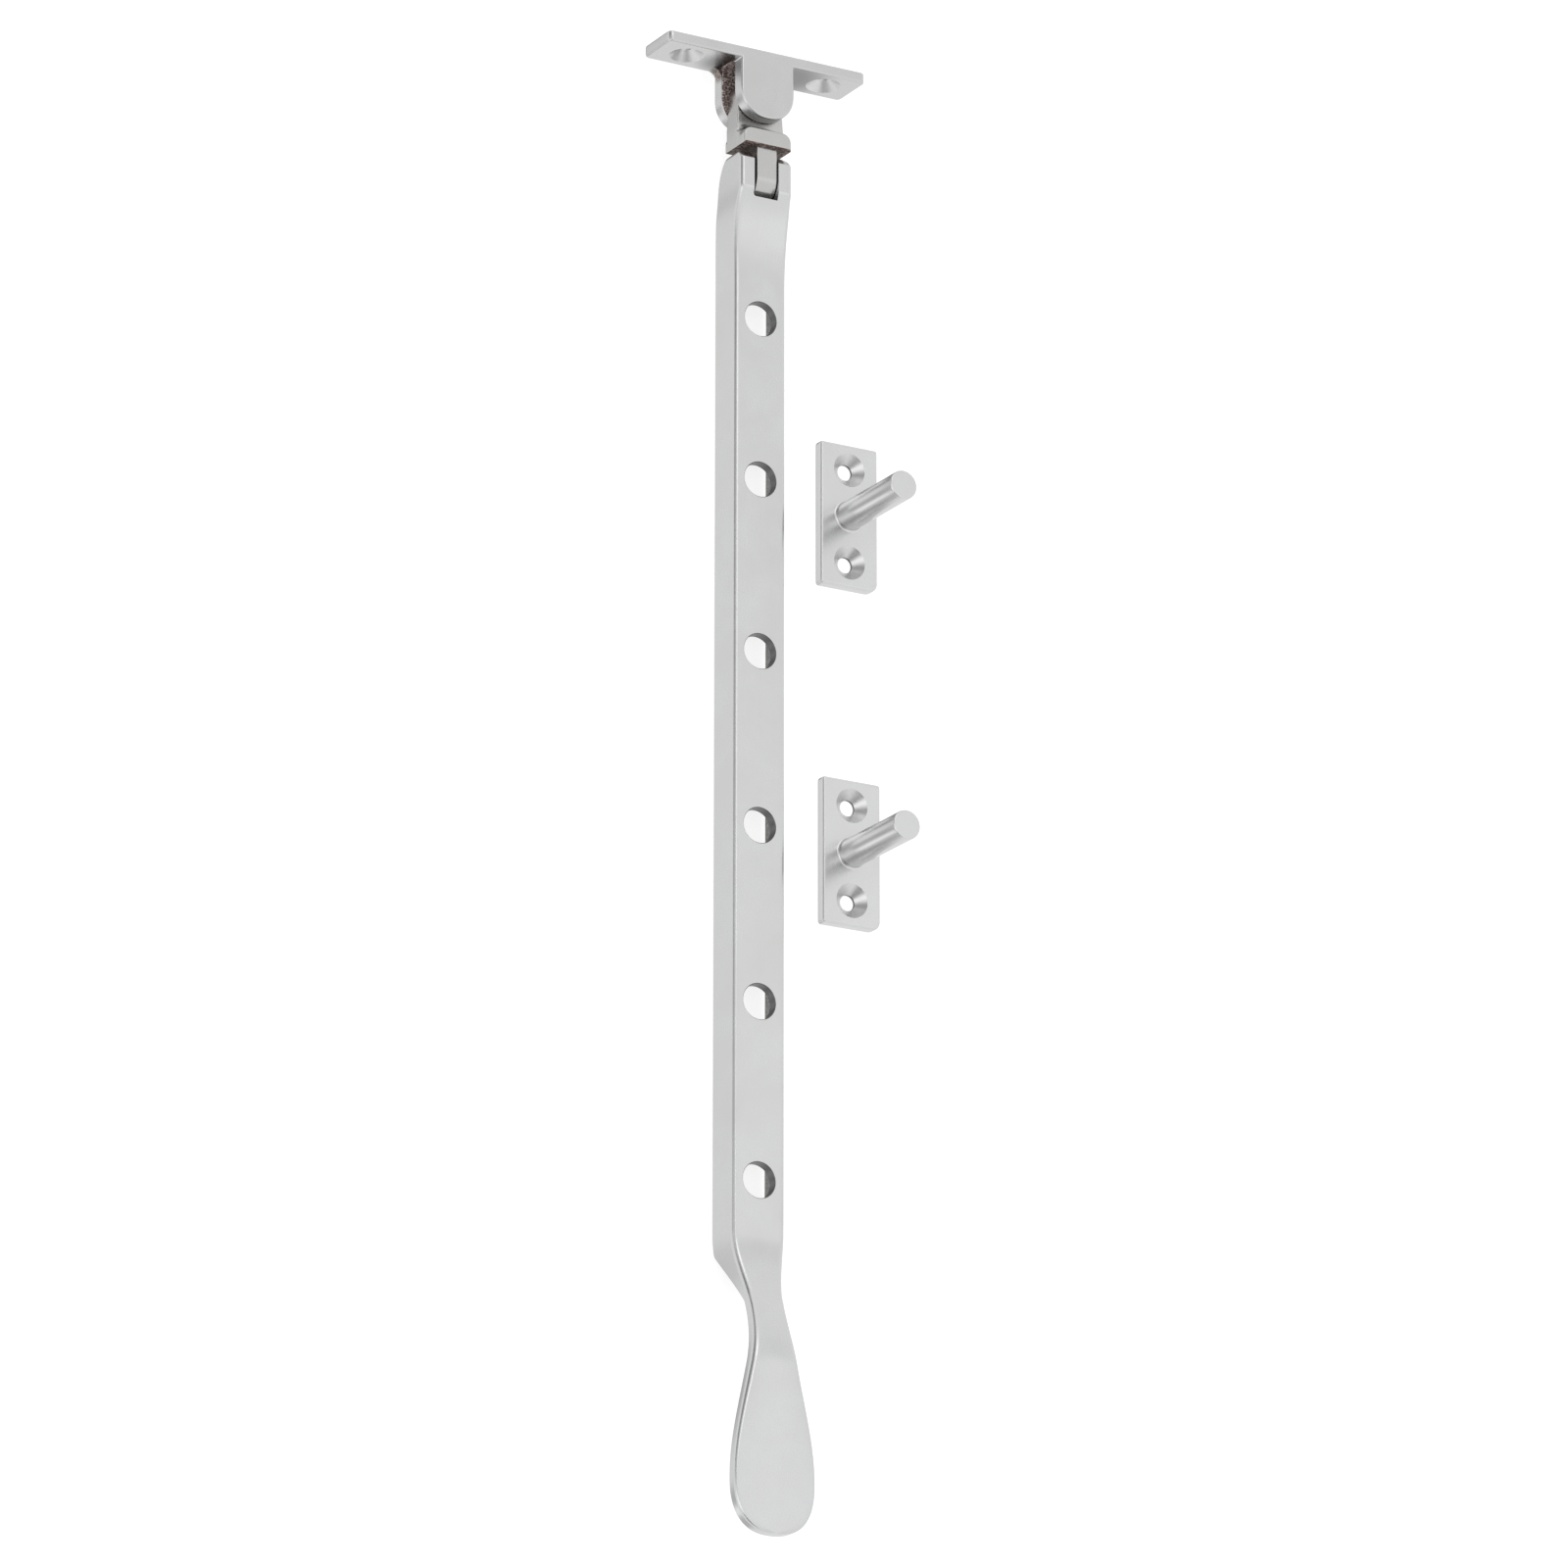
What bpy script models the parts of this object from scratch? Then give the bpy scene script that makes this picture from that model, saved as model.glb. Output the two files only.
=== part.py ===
"""Casement window stay with its two loose pegs, laid out flat on its back.

Everything is in metres, +Z up. X runs along the fixing bracket's plate, Y runs along the arm towards
the bracket, and Z is the height above the surface that the set lies on. Each builder works in
millimetres around its own joint axis or base; to_metres turns the finished mesh into metres.
The origin of the whole set is the bottom centre of its bounding box.
"""
import math

import bmesh
import bpy

MM = 0.001

# Overall layout, mm: the arm pin's axis is the local reference, s runs from it towards the spoon's tip.
PLATE_DEPTH = 11.2          # fixing plate, across its short side: it stands on this edge
AXIS_HEIGHT = PLATE_DEPTH / 2
ARM_REACH = 295.45          # arm pin to the tip of the spoon
BRACKET_PIN_RISE = 18.5     # arm pin to bracket pin

# Fixing bracket
PLATE_LENGTH = 48.0
PLATE_CORNER_RADIUS = 1.1
PLATE_THICK = 2.5
PLATE_RISE = 25.95          # arm pin to the plate's inner face
BRACKET_SCREW_SPACING = 33.6
SCREW_HOLE_RADIUS = 1.75
COUNTERSINK_RADIUS = 3.75
LUG_HALF_WIDTH = 6.4        # at the front
LUG_DRAFT = 0.45            # how much wider each side is at the back
LUG_GAP = 5.0
LUG_BOTTOM = 13.0           # arm pin to the lugs' lowest point
LUG_SQUARENESS = 2.2        # 2 is a true half round
LUG_FILLET = 2.4            # in the corners between the rear lug and the plate
EDGE_ROUNDING = 0.35

# Pins
BRACKET_PIN_RADIUS = 2.0
ARM_PIN_RADIUS = 1.8
RUNNING_GAP = 0.15
FLUSH_RECESS = 0.05
JOIN_OVERLAP = 1.0          # how far a joined shape starts inside the one that it grows from

# Swivel knuckle
EYE_HALF_WIDTH = 5.2
EYE_FLARE = 7.0             # below the bracket pin, where the eye is as wide as the shoulder
EYE_HALF_THICK = 2.25
EYE_FILLET = 1.8            # from the eye's front face to the shoulder's top
SHOULDER_HALF_WIDTH = 5.75
SHOULDER_LOW = 6.6
SHOULDER_HIGH = 10.4
SHOULDER_CORNER = 2.0
SHOULDER_FRONT = 5.6
SHOULDER_BACK = -2.5
TONGUE_WIDTH = 4.8
TONGUE_SIDE_SHIFT = 0.33    # the tongue sits to the right in its slot
TONGUE_END_RADIUS = 4.65
TONGUE_NECK_BACK = -3.5
TONGUE_NECK_ANGLE = 298     # degrees round the tongue's end, where its back leaves for the neck

# Arm: head, channel-section bar, neck and spoon
HEAD_TOP = 5.3              # arm pin to the head's flat top
HEAD_ROUND_RADIUS = 6.2     # front top corner, around the pin so that it clears the knuckle
HEAD_FRONT = 5.15
HEAD_BACK = -5.0
HEAD_BACK_RUN = 8.6         # the head's back is a quarter ellipse of this length, from its top down
HEAD_STEP_START = 3.2
HEAD_STEP_END = 24.0
HEAD_BULGE_START = 0.2
HEAD_BULGE_PLACE = 9.0
SLOT_WIDTH = 5.9
SLOT_SIDE_SHIFT = -0.05
SLOT_BOTTOM = 4.85
BAR_FRONT = 2.6
BAR_BACK = -4.9
BAR_HALF_WIDTH = 6.22
HEAD_BULGE = 0.28           # extra half width just below the head
FLANGE_DRAFT = 0.08
FLANGE_EDGE_THICK = 1.2
FLANGE_LIP = 0.3            # the small chamfer on a flange's back edge
FRONT_EDGE_ROUNDING = 0.6
CHANNEL_FILLET = 0.8
WEB_THICK = 2.3
CHANNEL_START = 13.0
CHANNEL_RAMP = 3.0
CHANNEL_SIDE_SLOPE = 0.14
FLANGE_RUNOUT_START = 235.5
FLANGE_RUNOUT_SLOPE = 0.8
CRANK_START = 232.0
CRANK_END = 260.0
HANDLE_FRONT = 9.8
HANDLE_THICK = 2.8
NECK_START = 231.0
NECK = 247.5
NECK_HALF_WIDTH = 4.1
SPOON_WIDEST = 284.0
SPOON_HALF_WIDTH = 9.4
SPOON_END_SQUARENESS = 2.5
HOLE_RADIUS = 3.8
FIRST_HOLE = 31.6
SECOND_HOLE = 67.6
HOLE_PITCH = 38.1
HOLE_COUNT = 6

# Loose pegs: each has a plate that lies on the surface and a round peg that stands up from it
PEG_PLATE_WIDTH = 13.9
PEG_PLATE_LENGTH = 32.0
PEG_PLATE_THICK = 2.6
PEG_CORNER_RADIUS = 0.6
PEG_WORN_CORNER_RADIUS = 2.0    # the lower right corner
PEG_SCREW_SPACING = 20.8
PEG_RADIUS = 3.18
PEG_LENGTH = 22.6
PEG_FILLET = 0.5
PEG_PLACES = {"peg_upper": (24.9, -69.6), "peg_lower": (25.4, -144.3)}

# The set's bounding box decides where its reference sits
LAYOUT_LEFT = -PLATE_LENGTH / 2
LAYOUT_RIGHT = PEG_PLACES["peg_lower"][0] + PEG_PLATE_WIDTH / 2
LAYOUT_TOP = PLATE_RISE + PLATE_THICK
ARM_PIN_X = -(LAYOUT_LEFT + LAYOUT_RIGHT) / 2
ARM_PIN_Y = (ARM_REACH - LAYOUT_TOP) / 2

ROUND_SIDES = 32
SATIN_CHROME = (0.62, 0.63, 0.635, 1.0)
FRESH_STEEL = (0.60, 0.58, 0.56, 1.0)


def smooth_step(value, start, end):
    t = min(max((value - start) / (end - start), 0.0), 1.0)
    return t * t * (3 - 2 * t)


def clear_scene():
    for thing in list(bpy.data.objects):
        bpy.data.objects.remove(thing, do_unlink=True)


def make_material(name, colour, roughness):
    material = bpy.data.materials.new(name)
    material.use_nodes = True
    shader = material.node_tree.nodes["Principled BSDF"]
    shader.inputs["Base Color"].default_value = colour
    shader.inputs["Metallic"].default_value = 1.0
    shader.inputs["Roughness"].default_value = roughness
    return material


def add_object(name, bm, material=None):
    """Turn a bmesh in millimetres into an object in metres, faces out and smooth between sharp edges."""
    bmesh.ops.recalc_face_normals(bm, faces=bm.faces)
    bmesh.ops.scale(bm, vec=(MM, MM, MM), verts=bm.verts)
    mesh = bpy.data.meshes.new(name)
    bm.to_mesh(mesh)
    bm.free()
    mesh.shade_smooth()
    mesh.set_sharp_from_angle(angle=math.radians(35))
    thing = bpy.data.objects.new(name, mesh)
    bpy.context.scene.collection.objects.link(thing)
    if material:
        mesh.materials.append(material)
    return thing


def add_loft(rings):
    """Skin a list of rings, each the same number of (x, y, z) points, and close both ends."""
    bm = bmesh.new()
    loops = [[bm.verts.new(point) for point in ring] for ring in rings]
    count = len(loops[0])
    for low, high in zip(loops, loops[1:]):
        for i in range(count):
            j = (i + 1) % count
            bm.faces.new((low[i], low[j], high[j], high[i]))
    bm.faces.new(loops[0])
    bm.faces.new(loops[-1])
    return bm


def add_prism(outline, axis, low, high):
    """Extrude a closed outline of (a, b) points along an axis; a and b are the other two, in order."""
    def point(a, b, c):
        values = [a, b]
        values.insert("XYZ".index(axis), c)
        return values

    return add_loft([[point(a, b, c) for a, b in outline] for c in (low, high)])


def rectangle(low_a, high_a, low_b, high_b):
    return [(low_a, low_b), (high_a, low_b), (high_a, high_b), (low_a, high_b)]


def circle(radius, a=0.0, b=0.0, sides=ROUND_SIDES):
    turn = 2 * math.pi / sides
    return [(a + radius * math.cos(i * turn), b + radius * math.sin(i * turn)) for i in range(sides)]


def arc(radius, a, b, start, end, steps):
    """Points on a circle from the start angle to the end angle, in degrees."""
    angles = [math.radians(start + (end - start) * i / steps) for i in range(steps + 1)]
    return [(a + radius * math.cos(angle), b + radius * math.sin(angle)) for angle in angles]


def use_modifier(thing, kind, **settings):
    modifier = thing.modifiers.new(kind.title(), kind)
    for key, value in settings.items():
        setattr(modifier, key, value)


def round_edges(thing, width=EDGE_ROUNDING, segments=2):
    use_modifier(thing, "BEVEL", width=width * MM, segments=segments, limit_method="ANGLE",
                 angle_limit=math.radians(40))


def combine(thing, name, bm, operation):
    """Cut a helper solid from a piece, or join it on. The helper stays in the file as a wire guide."""
    helper = add_object(f"{thing.name}_{name}", bm)
    helper.hide_render = True
    helper.display_type = "WIRE"
    helper.location = thing.location
    helper.parent = thing.parent
    use_modifier(thing, "BOOLEAN", operation=operation, object=helper, solver="EXACT")


def cut(thing, name, bm):
    combine(thing, name, bm, "DIFFERENCE")


def join(thing, name, bm):
    combine(thing, name, bm, "UNION")


def countersunk_hole(axis, a, b, inner, outer):
    """A screw hole along an axis, from the seat's open face at outer to the plain face at inner."""
    way = 1 if outer > inner else -1
    sink = (COUNTERSINK_RADIUS - SCREW_HOLE_RADIUS) * way
    levels = [
        (inner - way, SCREW_HOLE_RADIUS),
        (outer - sink, SCREW_HOLE_RADIUS),
        (outer, COUNTERSINK_RADIUS),
        (outer + way, COUNTERSINK_RADIUS),
    ]
    rings = []
    for level, radius in levels:
        ring = [[p, q] for p, q in circle(radius, a, b)]
        for values in ring:
            values.insert("XYZ".index(axis), level)
        rings.append(ring)
    return add_loft(rings)


def bracket_outline(lug_half):
    """The plate and one lug as seen from the front, around the bracket pin: a T with a rounded foot."""
    inner = PLATE_RISE - BRACKET_PIN_RISE
    outer = inner + PLATE_THICK
    drop = LUG_HALF_WIDTH
    centre = LUG_BOTTOM - BRACKET_PIN_RISE + drop
    foot = []
    steps = 20
    for i in range(steps + 1):
        angle = math.pi * i / steps
        across = math.copysign(abs(math.cos(angle)) ** (2 / LUG_SQUARENESS), math.cos(angle))
        down = math.sin(angle) ** (2 / LUG_SQUARENESS)
        foot.append((-lug_half * across, centre - drop * down))
    half = PLATE_LENGTH / 2
    return [(-lug_half, inner)] + foot + [
        (lug_half, inner), (half, inner), (half, outer), (-half, outer), (-half, inner)]


def bracket_rings():
    """The outline at the back and at the front: the lugs are drafted, so they are wider at the back."""
    levels = ((LUG_HALF_WIDTH + LUG_DRAFT, -AXIS_HEIGHT), (LUG_HALF_WIDTH, AXIS_HEIGHT))
    return [[(x, y, z) for x, y in bracket_outline(lug_half)] for lug_half, z in levels]


def plate_corner(side, end):
    """What is cut away to round one of the plate's four corners: side is along X, end is along Z."""
    spare = 1.0
    centre_x = PLATE_LENGTH / 2 - PLATE_CORNER_RADIUS
    centre_z = AXIS_HEIGHT - PLATE_CORNER_RADIUS
    outline = arc(PLATE_CORNER_RADIUS, centre_x, centre_z, 0, 90, 3)
    outline += [(centre_x, AXIS_HEIGHT + spare), (PLATE_LENGTH / 2 + spare, AXIS_HEIGHT + spare),
                (PLATE_LENGTH / 2 + spare, centre_z)]
    inner = PLATE_RISE - BRACKET_PIN_RISE
    outline = [(side * x, end * z) for x, z in outline]
    return add_prism(outline, "Y", inner - spare, inner + PLATE_THICK + spare)


def lug_fillet(side):
    """The cast fillet in the corner between the rear lug and the plate, on one side."""
    inner = PLATE_RISE - BRACKET_PIN_RISE
    overlap = 0.8
    drafted_half = LUG_HALF_WIDTH + 0.7 * LUG_DRAFT
    centre_x = drafted_half + LUG_FILLET
    inside_lug = LUG_HALF_WIDTH - overlap
    outline = arc(LUG_FILLET, centre_x, inner - LUG_FILLET, 90, 180, 6)
    outline += [(inside_lug, inner - LUG_FILLET), (inside_lug, inner + overlap), (centre_x, inner + overlap)]
    above_back = 0.3
    return add_prism([(side * x, y) for x, y in outline], "Z", above_back - AXIS_HEIGHT, -LUG_GAP / 2)


def build_fixing_bracket(parent, material):
    bracket = add_object("fixing_bracket", add_loft(bracket_rings()), material)
    bracket.parent = parent
    bracket.location = (0, BRACKET_PIN_RISE * MM, AXIS_HEIGHT * MM)
    inner = PLATE_RISE - BRACKET_PIN_RISE
    reach = 2 * LUG_HALF_WIDTH
    gap = rectangle(-reach, reach, -reach, inner)
    cut(bracket, "lug_gap", add_prism(gap, "Z", -LUG_GAP / 2, LUG_GAP / 2))
    for number, (side, end) in enumerate(((1, 1), (-1, 1), (-1, -1), (1, -1)), start=1):
        cut(bracket, f"plate_corner_{number}", plate_corner(side, end))
    round_edges(bracket)
    for side, name in ((-1, "left"), (1, "right")):
        join(bracket, f"fillet_{name}", lug_fillet(side))
    for side, name in ((-1, "left"), (1, "right")):
        hole = countersunk_hole("Y", side * BRACKET_SCREW_SPACING / 2, 0, inner + PLATE_THICK, inner)
        cut(bracket, f"screw_hole_{name}", hole)
    bore = circle(BRACKET_PIN_RADIUS + RUNNING_GAP)
    cut(bracket, "pin_bore", add_prism(bore, "Z", -PLATE_DEPTH, PLATE_DEPTH))
    return bracket


def build_pin(name, parent, material, axis, radius, half_length, rise):
    pin = add_object(name, add_prism(circle(radius), axis, -half_length, half_length), material)
    pin.parent = parent
    pin.location = (0, rise * MM, AXIS_HEIGHT * MM)
    return pin


def eye_outline():
    """The knuckle's eye from the front, around the bracket pin: round on top, flaring to the shoulder."""
    foot = SHOULDER_LOW - BRACKET_PIN_RISE + JOIN_OVERLAP
    half = SHOULDER_HALF_WIDTH
    return arc(EYE_HALF_WIDTH, 0, 0, 0, 180, 16) + [
        (-half, -EYE_FLARE), (-half, foot), (half, foot), (half, -EYE_FLARE)]


def shoulder_ring(z, rise):
    """The shoulder from the front at a height z: round upper corners, square at the bottom."""
    low = SHOULDER_LOW - BRACKET_PIN_RISE
    half = SHOULDER_HALF_WIDTH
    corner_x = half - SHOULDER_CORNER
    corner_y = SHOULDER_HIGH - BRACKET_PIN_RISE - SHOULDER_CORNER + rise
    right = arc(SHOULDER_CORNER, corner_x, corner_y, 0, 90, 4)
    left = arc(SHOULDER_CORNER, -corner_x, corner_y, 90, 180, 4)
    return [(x, y, z) for x, y in [(-half, low), (half, low)] + right + left]


def shoulder_rings():
    """The shoulder's upper side runs out over the eye's front face in a hollow fillet."""
    steps = 5
    rings = [shoulder_ring(SHOULDER_BACK, 0), shoulder_ring(0, 0)]
    for i in range(steps + 1):
        angle = math.radians(90 * i / steps)
        rise = EYE_FILLET * (1 - math.sin(angle))
        rings.append(shoulder_ring(EYE_HALF_THICK + EYE_FILLET * (1 - math.cos(angle)), rise))
    return rings + [shoulder_ring(SHOULDER_FRONT, 0)]


def tongue_outline():
    """The tongue from the side, (y, z) around the bracket pin: straight front, waisted back, round end."""
    top_y = SHOULDER_LOW - BRACKET_PIN_RISE + JOIN_OVERLAP
    round_end = arc(TONGUE_END_RADIUS, -BRACKET_PIN_RISE, 0, 90, TONGUE_NECK_ANGLE, 20)
    return round_end + [(top_y, TONGUE_NECK_BACK), (top_y, TONGUE_END_RADIUS)]


def build_swivel_knuckle(parent, material):
    eye = add_prism(eye_outline(), "Z", -EYE_HALF_THICK, EYE_HALF_THICK)
    knuckle = add_object("swivel_knuckle", eye, material)
    knuckle.parent = parent
    knuckle.location = (0, BRACKET_PIN_RISE * MM, AXIS_HEIGHT * MM)
    join(knuckle, "shoulder", add_loft(shoulder_rings()))
    half = TONGUE_WIDTH / 2
    tongue = add_prism(tongue_outline(), "X", TONGUE_SIDE_SHIFT - half, TONGUE_SIDE_SHIFT + half)
    join(knuckle, "tongue", tongue)
    lower_bore = circle(ARM_PIN_RADIUS + RUNNING_GAP, -BRACKET_PIN_RISE)
    cut(knuckle, "arm_pin_bore", add_prism(lower_bore, "X", -PLATE_DEPTH, PLATE_DEPTH))
    upper_bore = circle(BRACKET_PIN_RADIUS + RUNNING_GAP)
    cut(knuckle, "bracket_pin_bore", add_prism(upper_bore, "Z", -PLATE_DEPTH, PLATE_DEPTH))
    return knuckle


def arm_front(s):
    """Height of the arm's front face above the pin's axis, at a distance s from the pin."""
    if s < HEAD_STEP_START:
        round_top = math.sqrt(max(HEAD_ROUND_RADIUS ** 2 - min(s, 0.0) ** 2, 0.0))
        return min(HEAD_FRONT, round_top)
    fall = (s - HEAD_STEP_START) / (HEAD_STEP_END - HEAD_STEP_START)
    step = BAR_FRONT + (HEAD_FRONT - BAR_FRONT) * (1 - min(fall, 1.0)) ** 3
    return step + (HANDLE_FRONT - BAR_FRONT) * smooth_step(s, CRANK_START, CRANK_END)


def web_back(s):
    thick = WEB_THICK + (HANDLE_THICK - WEB_THICK) * smooth_step(s, CRANK_START, CRANK_END)
    return arm_front(s) - thick


def flange_edge(s):
    """Height of the flanges' back edges: the head's round back, the bar's, then a straight run-out."""
    lead = HEAD_BACK_RUN - HEAD_TOP - s
    if lead > 0:
        return HEAD_BACK * math.sqrt(max(1 - (lead / HEAD_BACK_RUN) ** 2, 0.0))
    level = HEAD_BACK + (BAR_BACK - HEAD_BACK) * smooth_step(s, HEAD_BACK_RUN - HEAD_TOP, HEAD_STEP_END)
    run_out = BAR_BACK + FLANGE_RUNOUT_SLOPE * max(s - FLANGE_RUNOUT_START, 0.0)
    return min(max(level, run_out), web_back(s)) if s > HEAD_STEP_END else level


def channel_floor(s):
    """Height of the channel's floor: at the flange edge where the arm is solid."""
    edge = flange_edge(s)
    depth = min(max((s - CHANNEL_START) / CHANNEL_RAMP, 0.0), 1.0)
    return edge + (web_back(s) - edge) * depth


def arm_half_width(s):
    if s > SPOON_WIDEST:
        along = (s - SPOON_WIDEST) / (ARM_REACH - SPOON_WIDEST)
        power = SPOON_END_SQUARENESS
        return SPOON_HALF_WIDTH * max(1 - along ** power, 0.0) ** (1 / power)
    width = BAR_HALF_WIDTH - (BAR_HALF_WIDTH - NECK_HALF_WIDTH) * smooth_step(s, NECK_START, NECK)
    width += (SPOON_HALF_WIDTH - NECK_HALF_WIDTH) * smooth_step(s, NECK, SPOON_WIDEST)
    rise = smooth_step(s, HEAD_BULGE_START, HEAD_BULGE_PLACE)
    fall = 1 - smooth_step(s, HEAD_BULGE_PLACE, HEAD_STEP_END)
    return width + HEAD_BULGE * rise * fall


def arm_section(s):
    """One ring of the arm at s: a rounded front, drafted sides and a channel in the back."""
    front = arm_front(s)
    edge = flange_edge(s)
    floor = channel_floor(s)
    half = arm_half_width(s)
    below_head = smooth_step(s, 0, HEAD_STEP_END)
    above_crank = 1 - smooth_step(s, FLANGE_RUNOUT_START, CRANK_END)
    draft = FLANGE_DRAFT * below_head * above_crank
    back_half = half + draft * (front - edge)
    bend = min(FRONT_EDGE_ROUNDING, 0.45 * half, 0.2 * (front - edge))
    lip = min(FLANGE_LIP, 0.5 * bend)
    edge_inner = back_half - min(FLANGE_EDGE_THICK, 0.35 * half)
    floor_half = edge_inner - min(CHANNEL_SIDE_SLOPE * (floor - edge) + 0.1, 0.2 * half)
    fillet = min(CHANNEL_FILLET, 0.3 * (floor - edge), 0.3 * floor_half)
    side = [
        (half - bend, front),
        (half - 0.3 * bend, front - 0.3 * bend),
        (half, front - bend),
        (back_half, edge + lip),
        (back_half - lip, edge),
        (edge_inner - min(0.05, lip), edge),
        (floor_half, floor - fillet),
        (floor_half - min(CHANNEL_FILLET, 0.3 * floor_half), floor),
    ]
    ring = side + [(-x, z) for x, z in reversed(side)]
    return [(x, -s, z) for x, z in ring]


def spread(start, end, steps):
    return [start + (end - start) * i / steps for i in range(steps)]


def arm_stations():
    """Distances along the arm at which it gets a ring, close together only where the shape turns."""
    end_of_back = HEAD_BACK_RUN - HEAD_TOP
    back_angles = [math.radians(8 * i) for i in range(8)]
    head = [end_of_back - HEAD_BACK_RUN * math.cos(angle) for angle in back_angles] + [0.6, 2.0]
    step = spread(HEAD_STEP_START, CHANNEL_START, 5) + [CHANNEL_START, CHANNEL_START + CHANNEL_RAMP]
    bar = [HEAD_STEP_END - 3, HEAD_STEP_END + 1, 80.0, 150.0, 220.0]
    neck = [NECK_START - 1] + spread(CRANK_START, CRANK_END, 16)
    spoon = spread(CRANK_END, SPOON_WIDEST, 9)
    end_angles = [math.radians(6 + 84 * i / 9) for i in range(10)]
    tip = [SPOON_WIDEST + (ARM_REACH - SPOON_WIDEST) * math.sin(angle * 0.985) for angle in end_angles]
    return head + step + bar + neck + spoon + [SPOON_WIDEST] + tip


def hole_places():
    return [FIRST_HOLE] + [SECOND_HOLE + HOLE_PITCH * i for i in range(HOLE_COUNT - 1)]


def build_arm(parent, material):
    arm = add_object("arm", add_loft([arm_section(s) for s in arm_stations()]), material)
    arm.parent = parent
    arm.location = (0, 0, AXIS_HEIGHT * MM)
    half = SLOT_WIDTH / 2
    slot = rectangle(SLOT_SIDE_SHIFT - half, SLOT_SIDE_SHIFT + half, -SLOT_BOTTOM, 2 * HEAD_ROUND_RADIUS)
    cut(arm, "slot", add_prism(slot, "Z", -2 * HEAD_ROUND_RADIUS, 2 * HEAD_ROUND_RADIUS))
    bore = circle(ARM_PIN_RADIUS + RUNNING_GAP)
    cut(arm, "pin_bore", add_prism(bore, "X", -2 * BAR_HALF_WIDTH, 2 * BAR_HALF_WIDTH))
    for number, s in enumerate(hole_places(), start=1):
        cut(arm, f"peg_hole_{number}", add_prism(circle(HOLE_RADIUS, 0, -s), "Z", -WEB_THICK, 2 * BAR_FRONT))
    return arm


def peg_plate():
    """The peg's plate with rounded corners, one of them worn."""
    outline = []
    for quarter, (side, end) in enumerate(((1, 1), (-1, 1), (-1, -1), (1, -1))):
        radius = PEG_WORN_CORNER_RADIUS if (side, end) == (1, -1) else PEG_CORNER_RADIUS
        across = PEG_PLATE_WIDTH / 2 - radius
        along = PEG_PLATE_LENGTH / 2 - radius
        outline += arc(radius, side * across, end * along, 90 * quarter, 90 * quarter + 90, 3)
    return add_prism(outline, "Z", 0, PEG_PLATE_THICK)


def peg_shaft():
    """The round peg, from inside the plate up through its base fillet to a flat end."""
    top = PEG_PLATE_THICK + PEG_LENGTH
    rings = [(0.5 * PEG_PLATE_THICK, PEG_RADIUS + PEG_FILLET)]
    for i in range(6):
        angle = math.radians(90 * i / 5)
        rings.append((PEG_PLATE_THICK + PEG_FILLET * (1 - math.cos(angle)),
                      PEG_RADIUS + PEG_FILLET * (1 - math.sin(angle))))
    rings += [(top - EDGE_ROUNDING, PEG_RADIUS), (top, PEG_RADIUS - EDGE_ROUNDING)]
    return add_loft([[(x, y, z) for x, y in circle(radius)] for z, radius in rings])


def build_peg(name, parent, material):
    peg = add_object(name, peg_plate(), material)
    peg.parent = parent
    x, y = PEG_PLACES[name]
    peg.location = (x * MM, y * MM, 0)
    round_edges(peg)
    join(peg, "shaft", peg_shaft())
    for side, place in ((-1, "lower"), (1, "upper")):
        hole = countersunk_hole("Z", 0, side * PEG_SCREW_SPACING / 2, 0, PEG_PLATE_THICK)
        cut(peg, f"screw_hole_{place}", hole)
    return peg


def main():
    clear_scene()
    layout = bpy.data.objects.new("layout", None)
    bpy.context.scene.collection.objects.link(layout)
    layout.location = (ARM_PIN_X * MM, ARM_PIN_Y * MM, 0)
    build_fixing_bracket(layout, make_material("bracket_satin_chrome", SATIN_CHROME, 0.3))
    build_pin("bracket_pivot_pin", layout, make_material("bracket_pin_steel", FRESH_STEEL, 0.35), "Z",
              BRACKET_PIN_RADIUS, AXIS_HEIGHT - FLUSH_RECESS, BRACKET_PIN_RISE)
    build_swivel_knuckle(layout, make_material("knuckle_satin_chrome", SATIN_CHROME, 0.32))
    build_arm(layout, make_material("arm_satin_chrome", SATIN_CHROME, 0.28))
    build_pin("arm_pivot_pin", layout, make_material("arm_pin_steel", FRESH_STEEL, 0.35), "X",
              ARM_PIN_RADIUS, BAR_HALF_WIDTH - FLUSH_RECESS, 0)
    for name in PEG_PLACES:
        build_peg(name, layout, make_material(f"{name}_satin_chrome", SATIN_CHROME, 0.28))


main()
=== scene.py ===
"""Casement window stay and its two loose pegs: the finished look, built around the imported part.

Every piece is modelled in millimetres around its own joint axis or base and then stands for its CAD node,
with finer curves, softened edges and plated surfaces. Inside a piece X runs along the bracket's plate,
Y along the arm towards the bracket and Z up from the floor. Along the arm, s is the distance from the
arm's pin towards the spoon's tip.
"""

import math

import bmesh
import bpy
from mathutils import Matrix, Vector


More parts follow.
